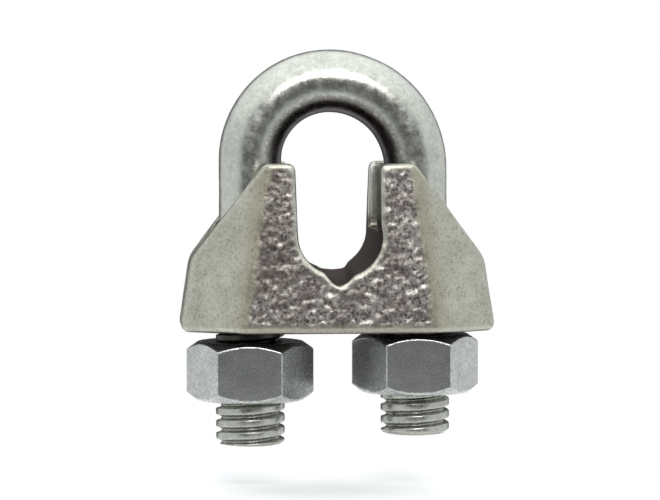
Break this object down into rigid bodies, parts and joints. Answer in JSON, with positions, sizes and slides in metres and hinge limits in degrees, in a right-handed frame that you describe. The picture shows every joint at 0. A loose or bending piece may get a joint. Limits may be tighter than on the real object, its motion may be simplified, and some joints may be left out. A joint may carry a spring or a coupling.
{
  "type": "wire rope clip",
  "caption": "U-bolt wire rope clip: a bow with two threaded legs, a cast saddle with a rope seat, and hexagon nuts that clamp the rope.",
  "frame": {"origin": "on the axis of the rope seat, halfway through the saddle", "axes": "+X across the two legs, +Y along the rope, +Z from the nuts towards the bow"},
  "size_m": [0.0359, 0.0168, 0.0454],
  "materials": {
    "cast_zinc": "satin",
    "rod_zinc": "satin",
    "nut_zinc": "satin"
  },
  "bodies": {
    "saddle": {"saddle": "cast_zinc"},
    "u_bolt": {"u_bolt": "rod_zinc"},
    "nut_left": {"nut_left": "nut_zinc"},
    "nut_right": {"nut_right": "nut_zinc"}
  },
  "joints": [
    {"name": "nut_left_turn", "type": "hinge", "parent": "saddle", "child": "nut_left", "pos_m": [-0.00953, 0, -0.0112], "axis": [0, 0, 1], "range_deg": [-1170, 1320]},
    {"name": "nut_right_turn", "type": "hinge", "parent": "saddle", "child": "nut_right", "pos_m": [0.00953, 0, -0.0112], "axis": [0, 0, 1], "range_deg": [-1171, 1321]},
    {"name": "u_bolt_slide", "type": "slide", "parent": "saddle", "child": "u_bolt", "axis": [0, 0, 1], "range_m": [-0.0052, 0.0046]}
  ],
  "couplings": [
    {"joint": "nut_right_turn", "follows": "nut_left_turn", "ratio": 1},
    {"joint": "u_bolt_slide", "follows": "nut_left_turn", "m_per_rad": -0.00022458}
  ]
}
